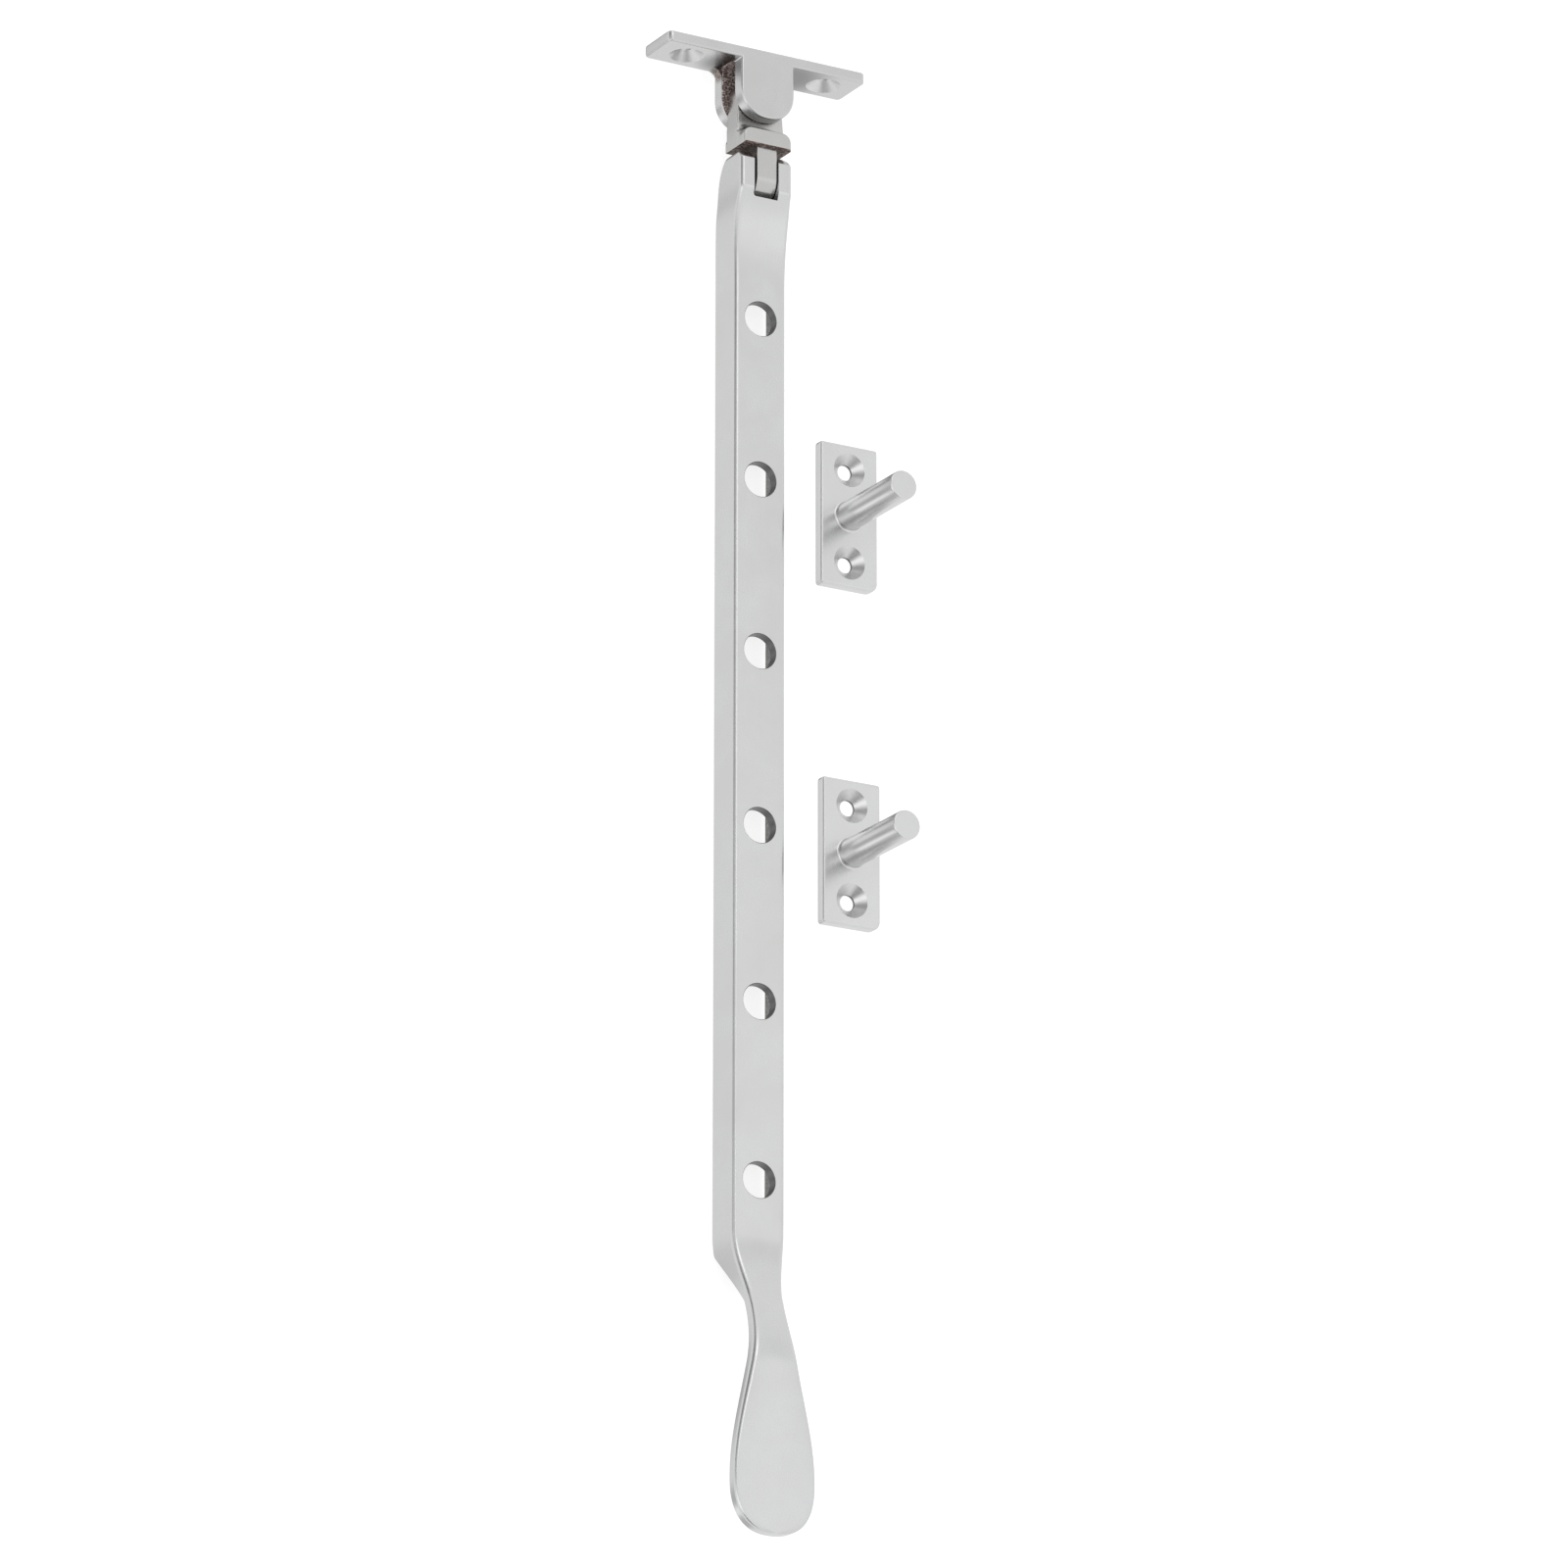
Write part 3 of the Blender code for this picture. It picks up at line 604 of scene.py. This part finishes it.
def build_arm(materials):
    """The channel keeps its raw skin up to the neck; beyond it the spoon is polished front and back."""
    points = len(arm_section(FIRST_HOLE))
    first_inner = FACE_POINTS + 2 * (ARC_STEPS + 1)
    last_inner = points - first_inner

    def finish_of_step(i):
        return RAW if first_inner <= i < last_inner - 1 else SATIN

    casting = loft([arm_section(s) for s in arm_stations()], SATIN, finish_of_step)
    for face in casting.faces:
        if -face.calc_center_median().y > NECK:
            face.material_index = SATIN
    arm = new_object("stay_arm_casting", casting, materials)
    deep = 2 * HEAD_ROUND_RADIUS
    outline = slot_outline()
    right_wall = len(outline) - 3
    rings = [[(x, y, z) for x, y in outline] for z in (-deep, deep)]
    cut(arm, loft(rings, RAW, lambda i: SATIN if i == right_wall else RAW))
    cut(arm, prism(circle(ARM_PIN_RADIUS + SEAM), "X", -2 * BAR_HALF_WIDTH, 2 * BAR_HALF_WIDTH, DRILLED))
    mouth = HOLE_RADIUS + 2 * HOLE_CHAMFER
    profile = [(BAR_FRONT - 2 * WEB_THICK, HOLE_RADIUS), (BAR_FRONT - HOLE_CHAMFER, HOLE_RADIUS),
               (BAR_FRONT + HOLE_CHAMFER, mouth), (deep, mouth)]
    for s in hole_places():
        cut(arm, turned("Z", 0, -s, profile, DRILLED))
    finish_piece(arm, ARM_PIN, "stay_arm", "arm")


# ---------------------------------------------------------------- loose pegs

def build_peg(node, body, materials):
    """A screw-on plate with a round peg that rises from a cast fillet."""
    outline = []
    for quarter, (side, end) in enumerate(((1, 1), (-1, 1), (-1, -1), (1, -1))):
        radius = PEG_WORN_CORNER_RADIUS if (side, end) == (1, -1) else PEG_CORNER_RADIUS
        across = PEG_PLATE_WIDTH / 2 - radius
        lengthwise = PEG_PLATE_LENGTH / 2 - radius
        outline += arc(radius, side * across, end * lengthwise, 90 * quarter, 90 * quarter + 90, 8)
    peg = new_object(f"{node}_casting", prism(outline, "Z", 0, PEG_PLATE_THICK), materials)
    round_edges(peg, PEG_ROUNDING)
    profile = [(0.5 * PEG_PLATE_THICK, PEG_RADIUS + PEG_FILLET)]
    for up, out in quarter_turn(12):
        profile.append((PEG_PLATE_THICK + PEG_FILLET * up, PEG_RADIUS + PEG_FILLET * out))
    for inward, down in quarter_turn(ROUNDING_STEPS):
        profile.append((PEG_HEIGHT - PEG_END_ROUNDING * down, PEG_RADIUS - PEG_END_ROUNDING * inward))
    join(peg, turned("Z", 0, 0, profile))
    for side in (-1, 1):
        for cutter in countersunk_hole("Z", 0, side * PEG_SCREW_SPACING / 2, 0, PEG_PLATE_THICK):
            cut(peg, cutter)
    low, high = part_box(node)
    base = Vector(((low.x + high.x) / 2, (low.y + high.y) / 2, low.z))
    finish_piece(peg, base, body, node)


# ---------------------------------------------------------------- materials

def new_material(name):
    material = bpy.data.materials.new(name)
    material.use_nodes = True
    tree = material.node_tree
    shader = tree.nodes["Principled BSDF"]
    shader.inputs["Metallic"].default_value = 1.0
    return material, tree, shader


def add_node(tree, kind, **settings):
    node = tree.nodes.new(kind)
    for key, value in settings.items():
        setattr(node, key, value)
    return node


def object_coords(tree, stretch=(1, 1, 1)):
    """The piece's own coordinates, in metres from its joint axis or base."""
    coords = add_node(tree, "ShaderNodeTexCoord")
    mapping = add_node(tree, "ShaderNodeMapping")
    mapping.inputs["Scale"].default_value = stretch
    tree.links.new(coords.outputs["Object"], mapping.inputs["Vector"])
    return mapping.outputs["Vector"]


def noise(tree, coords, feature, detail, roughness, distortion=0.0):
    """Noise with features of about this size in millimetres."""
    node = add_node(tree, "ShaderNodeTexNoise")
    node.inputs["Scale"].default_value = 1 / (feature * MM)
    node.inputs["Detail"].default_value = detail
    node.inputs["Roughness"].default_value = roughness
    node.inputs["Distortion"].default_value = distortion
    tree.links.new(coords, node.inputs["Vector"])
    return node.outputs["Fac"]


def spread_range(tree, value, low, high, to_low, to_high, kind="LINEAR"):
    """The value mapped from one range to another, and held inside it."""
    node = add_node(tree, "ShaderNodeMapRange", interpolation_type=kind)
    for socket, number in (("From Min", low), ("From Max", high), ("To Min", to_low), ("To Max", to_high)):
        node.inputs[socket].default_value = number
    tree.links.new(value, node.inputs["Value"])
    return node.outputs["Result"]


def math_node(tree, operation, *values):
    node = add_node(tree, "ShaderNodeMath", operation=operation)
    for socket, value in zip(node.inputs, values):
        if isinstance(value, (int, float)):
            socket.default_value = value
        else:
            tree.links.new(value, socket)
    return node.outputs["Value"]


def blend_colours(tree, share, first, second):
    """Two colours mixed. The node's colour sockets share their names with others, so they go by number."""
    node = add_node(tree, "ShaderNodeMix", data_type="RGBA")
    for socket, value in ((node.inputs[0], share), (node.inputs[6], first), (node.inputs[7], second)):
        if isinstance(value, (int, float, tuple)):
            socket.default_value = value
        else:
            tree.links.new(value, socket)
    return node.outputs[2]


def bump(tree, height, distance, strength, normal=None):
    """A bump this many millimetres deep, laid over an earlier one if there is one."""
    node = add_node(tree, "ShaderNodeBump")
    node.inputs["Strength"].default_value = strength
    node.inputs["Distance"].default_value = distance * MM
    tree.links.new(height, node.inputs["Height"])
    if normal:
        tree.links.new(normal, node.inputs["Normal"])
    return node.outputs["Normal"]


def near(tree, coords, place, inner, outer):
    """1 within inner millimetres of a place in the piece, falling to 0 at outer."""
    distance = add_node(tree, "ShaderNodeVectorMath", operation="DISTANCE")
    distance.inputs[1].default_value = [value * MM for value in place]
    tree.links.new(coords, distance.inputs[0])
    return spread_range(tree, distance.outputs["Value"], inner * MM, outer * MM, 1, 0, "SMOOTHSTEP")


def grey(value, warmth=0.0):
    return (value * (1 + warmth), value, value * (1 - warmth), 1.0)


def any_of(tree, coords, places):
    """1 inside any of the places, each a centre and its inner and outer distance in millimetres."""
    share = None
    for place in places:
        spot = near(tree, coords, *place)
        share = spot if share is None else math_node(tree, "MAXIMUM", share, spot)
    return share


def facing_down_row(tree):
    """1 on faces that look along -Y, 0 on all others."""
    coords = add_node(tree, "ShaderNodeTexCoord")
    dot = add_node(tree, "ShaderNodeVectorMath", operation="DOT_PRODUCT")
    dot.inputs[1].default_value = (0, -1, 0)
    tree.links.new(coords.outputs["Normal"], dot.inputs[0])
    return spread_range(tree, dot.outputs["Value"], 0.55, 0.95, 0, 1, "SMOOTHSTEP")


def satin_chrome(name, shade, warmth, grain, grime_and_shade=(), painted_shade_spots=()):
    """Satin chrome over a hand-finished casting: cloudy and finely brushed, with painted shade near given
    places and brown grit with painted shade in tight corners.
    """
    material, tree, shader = new_material(name)
    coords = object_coords(tree)
    clouds = noise(tree, coords, 14.0, 3.0, 0.55, 0.4)
    mottle = noise(tree, coords, 3.0, 2.0, 0.5)
    brushed = noise(tree, object_coords(tree, grain), 0.2, 2.0, 0.5)
    light = grey(min(shade * 1.03, 1.0), warmth - 0.004)
    dark = grey(shade * 0.965, warmth + 0.006)
    colour = blend_colours(tree, spread_range(tree, clouds, 0.3, 0.7, 0, 1), dark, light)
    spots = spread_range(tree, mottle, 0.35, 0.65, 0.0, 0.2)
    colour = blend_colours(tree, spots, colour, grey(shade * 0.96, warmth))
    rough = math_node(tree, "ADD", spread_range(tree, clouds, 0.3, 0.7, 0.24, 0.28),
                      spread_range(tree, brushed, 0.3, 0.7, -0.015, 0.015))
    fine = bump(tree, brushed, 0.003, 0.25)
    normal = bump(tree, mottle, 0.008, 0.22, fine)
    # Painted shade: darker colour on faces that look along -Y near the given places.
    if painted_shade_spots:
        share = math_node(tree, "MULTIPLY", any_of(tree, coords, painted_shade_spots), facing_down_row(tree))
        colour = blend_colours(tree, share, colour, grey(shade * 0.40, warmth))
    # Painted shade with brown grit: patchy, rougher and bumpy in the tight corners of the joint.
    if grime_and_shade:
        share = any_of(tree, coords, grime_and_shade)
        grit = noise(tree, coords, 0.42, 4.0, 0.7)
        patchy = math_node(tree, "MULTIPLY", share, spread_range(tree, grit, 0.40, 0.60, 0.35, 1.0))
        colour = blend_colours(tree, patchy, colour, GRIME_AND_SHADE)
        rough = math_node(tree, "ADD", rough, math_node(tree, "MULTIPLY", patchy, 0.2))
        normal = bump(tree, math_node(tree, "MULTIPLY", grit, share), 0.10, 0.6, normal)
    tree.links.new(colour, shader.inputs["Base Color"])
    tree.links.new(rough, shader.inputs["Roughness"])
    tree.links.new(normal, shader.inputs["Normal"])
    return material


def raw_casting(name, dark, light):
    """The skin that no wheel reaches: pitted and thinly plated, dark in the pits and light on the grains."""
    material, tree, shader = new_material(name)
    coords = object_coords(tree)
    pits = noise(tree, coords, 0.42, 3.0, 0.6)
    patches = noise(tree, coords, 1.6, 2.0, 0.5)
    grains = spread_range(tree, pits, 0.46, 0.58, 0, 1, "SMOOTHSTEP")
    share = math_node(tree, "MULTIPLY", grains, spread_range(tree, patches, 0.35, 0.62, 0.25, 1.0))
    colour = blend_colours(tree, share, dark, light)
    tree.links.new(colour, shader.inputs["Base Color"])
    shader.inputs["Metallic"].default_value = 0.45
    tree.links.new(spread_range(tree, pits, 0.4, 0.65, 0.6, 0.40), shader.inputs["Roughness"])
    tree.links.new(bump(tree, pits, 0.14, 0.8), shader.inputs["Normal"])
    return material


def drilled_metal(name, colour):
    """A drilled wall: fine rings along the bore and a dull, thin plating."""
    material, tree, shader = new_material(name)
    coords = object_coords(tree, (1, 1, 9))
    rings = noise(tree, coords, 0.9, 3.0, 0.6)
    light = tuple(min(value * 1.7, 1.0) for value in colour)
    stripes = spread_range(tree, rings, 0.35, 0.65, 0, 1)
    tree.links.new(blend_colours(tree, stripes, colour, light), shader.inputs["Base Color"])
    tree.links.new(spread_range(tree, rings, 0.35, 0.65, 0.3, 0.45), shader.inputs["Roughness"])
    tree.links.new(bump(tree, rings, 0.02, 0.5), shader.inputs["Normal"])
    return material


def turned_seat(name, shade):
    """A countersink: bright and smooth from the cutter, with faint rings."""
    material, tree, shader = new_material(name)
    coords = object_coords(tree)
    chatter = noise(tree, coords, 0.5, 2.0, 0.5)
    colour = blend_colours(tree, spread_range(tree, chatter, 0.3, 0.7, 0, 1), grey(shade * 0.92), grey(shade))
    tree.links.new(colour, shader.inputs["Base Color"])
    tree.links.new(spread_range(tree, chatter, 0.3, 0.7, 0.32, 0.38), shader.inputs["Roughness"])
    tree.links.new(bump(tree, chatter, 0.012, 0.4), shader.inputs["Normal"])
    return material


# Colours: a raw skin's dark pits and light grains, and the brown grit and painted shade in the joint's
# corners
GRIME_AND_SHADE = (0.16, 0.105, 0.08, 1.0)
LUG_SKIN = ((0.17, 0.115, 0.10, 1.0), (0.95, 0.88, 0.84, 1.0))
BROWN_SKIN = ((0.060, 0.038, 0.030, 1.0), (0.26, 0.20, 0.175, 1.0))
GREY_SKIN = ((0.19, 0.188, 0.185, 1.0), (0.36, 0.355, 0.35, 1.0))


def make_materials(piece, satin, skin, bore=0.11):
    """A piece's four finishes, in the order SATIN, RAW, DRILLED, TURNED."""
    return [satin,
            raw_casting(f"{piece}_raw_casting", *skin),
            drilled_metal(f"{piece}_drilled_wall", grey(bore)),
            turned_seat(f"{piece}_turned_seat", 0.74)]


# ---------------------------------------------------------------- studio

def build_floor():
    half = 4.0
    drop = 0.0001           # metres below the set, so that no two faces share a plane
    bm = bmesh.new()
    bm.faces.new([bm.verts.new((x, y, -drop)) for x, y in rectangle(-half, half, -half, half)])
    floor = new_object("studio_floor", bm)
    material = bpy.data.materials.new("white_floor")
    material.use_nodes = True
    shader = material.node_tree.nodes["Principled BSDF"]
    shader.inputs["Base Color"].default_value = (0.40, 0.40, 0.40, 1.0)
    shader.inputs["Roughness"].default_value = 1.0
    shader.inputs["Specular IOR Level"].default_value = 0.0
    shader.inputs["Emission Color"].default_value = (1.0, 1.0, 1.0, 1.0)
    shader.inputs["Emission Strength"].default_value = 0.80
    floor.data.materials.append(material)
    floor.visible_glossy = False


def build_world():
    """A light tent all round, with softboxes and dark gaps.

    Each zone has a direction, the angles in degrees at which it starts and stops fading, and its gain.
    """
    world = bpy.data.worlds.new("light_tent")
    bpy.context.scene.world = world
    world.use_nodes = True
    tree = world.node_tree
    background = tree.nodes["Background"]
    coords = add_node(tree, "ShaderNodeTexCoord")
    level = 0.97
    backdrop = (0.93, 0.93, 0.93, 1.0)
    total = None
    zones = [
        ((-0.78, 0.52, 0.34), 8, 26, -0.75),
        ((-0.50, 0.30, 0.81), 5, 18, -0.35),
        ((-0.12, 0.50, 0.86), 5, 15, 1.0),
        ((-0.36, -0.76, 0.54), 8, 34, -0.70),
        ((-0.80, -0.24, 0.55), 8, 19, 0.6),
        ((-0.474, -0.311, 0.824), 5, 15, 0.6),
        ((0.48, 0.15, 0.86), 2, 13, 0.17),
        ((0.45, 0.48, 0.75), 3, 16, -0.10),
        ((0.02, 0.57, -0.82), 17, 29, -0.70),
        ((-0.57, -0.02, -0.82), 4, 13, -0.50),
        ((-0.47, -0.31, -0.82), 3, 9, 0.35),
        ((-0.17, -0.54, -0.82), 8, 19, -0.38),
    ]
    for axis, inner, outer, gain in zones:
        dot = add_node(tree, "ShaderNodeVectorMath", operation="DOT_PRODUCT")
        dot.inputs[1].default_value = Vector(axis).normalized()
        tree.links.new(coords.outputs["Generated"], dot.inputs[0])
        zone = spread_range(tree, dot.outputs["Value"], math.cos(math.radians(outer)),
                            math.cos(math.radians(inner)), 0, gain, "SMOOTHSTEP")
        total = math_node(tree, "ADD", level if total is None else total, zone)
    path = add_node(tree, "ShaderNodeLightPath")
    seen = blend_colours(tree, path.outputs["Is Camera Ray"], total, backdrop)
    tree.links.new(seen, background.inputs["Color"])


def build_camera():
    """Looks along a yaw and a pitch measured from straight down at the arm, with +Y upwards in the frame."""
    forward = Vector((math.sin(CAMERA_YAW) * math.cos(CAMERA_PITCH), math.sin(CAMERA_PITCH),
                      -math.cos(CAMERA_YAW) * math.cos(CAMERA_PITCH)))
    right = forward.cross(Vector((0, 1, 0))).normalized()
    up = right.cross(forward)
    right, up = (right * math.cos(CAMERA_ROLL) + up * math.sin(CAMERA_ROLL),
                 up * math.cos(CAMERA_ROLL) - right * math.sin(CAMERA_ROLL))
    data = bpy.data.cameras.new("studio_camera")
    data.lens = CAMERA_LENS
    data.sensor_width = 36.0
    data.clip_start = 0.05
    data.clip_end = 50.0
    camera = bpy.data.objects.new("studio_camera", data)
    bpy.context.scene.collection.objects.link(camera)
    turn = Matrix((right, up, -forward)).transposed().to_4x4()
    camera.matrix_world = Matrix.Translation(ARM_PIN + CAMERA_FROM_PIN) @ turn
    bpy.context.scene.camera = camera


# ---------------------------------------------------------------- putting it together

def main():
    # Painted shade by the lugs and on the eye, with brown grit in the joint's corners: a place in the piece,
    # and the distances at which it starts and stops fading
    lug_grime_and_shade = [((-6.8, 6.6, -3.5), 0.8, 2.6)]
    # Painted shade on the plate's underside by the lugs and under the front lug's foot.
    lug_shade = [((7.5, PLATE_INNER, 0), 3.0, 13.0), ((-8.0, PLATE_INNER, 0), 1.5, 7.0),
                 ((0, LUG_BOTTOM, 4.0), 3.0, 6.0)]
    # Painted shade with brown grit on the eye, between the lugs.
    eye_grime_and_shade = [((0, 3.0, 0), 3.5, 6.5)]
    lengthwise = (1, 0.06, 1)
    crosswise = (0.06, 1, 1)
    all_ways = (1, 1, 1)
    # Lit and shaded copies of one plating: the base values differ piece by piece, from 0.55 on the knuckle to
    # 0.68 on the pegs, partly as tone and partly as painted light and shade.
    bracket_satin = satin_chrome("bracket_satin_chrome", 0.605, 0.0, crosswise, lug_grime_and_shade, lug_shade)
    knuckle_satin = satin_chrome("knuckle_satin_chrome", 0.55, 0.008, all_ways, eye_grime_and_shade)
    arm_satin = satin_chrome("arm_satin_chrome", 0.65, -0.003, lengthwise)
    build_bracket(make_materials("bracket", bracket_satin, LUG_SKIN, 0.40))
    build_pin("bracket_pivot_pin_flush", "Z", BRACKET_PIN_RADIUS, PLATE_DEPTH / 2, BRACKET_PIN,
              [bracket_satin], "bracket", "bracket_pivot_pin")
    build_knuckle(make_materials("knuckle", knuckle_satin, BROWN_SKIN))
    build_arm(make_materials("arm", arm_satin, GREY_SKIN))
    build_pin("arm_pivot_pin_flush", "X", ARM_PIN_RADIUS, BAR_HALF_WIDTH, ARM_PIN,
              [arm_satin], "stay_arm", "arm_pivot_pin")
    peg_satin = satin_chrome("peg_satin_chrome", 0.68, -0.003, lengthwise)
    peg_materials = make_materials("peg", peg_satin, GREY_SKIN)
    for node, body in (("peg_upper", "upper_peg"), ("peg_lower", "lower_peg")):
        build_peg(node, body, peg_materials)
    build_floor()
    build_world()
    build_camera()
    bpy.context.scene.view_settings.view_transform = "Standard"


main()
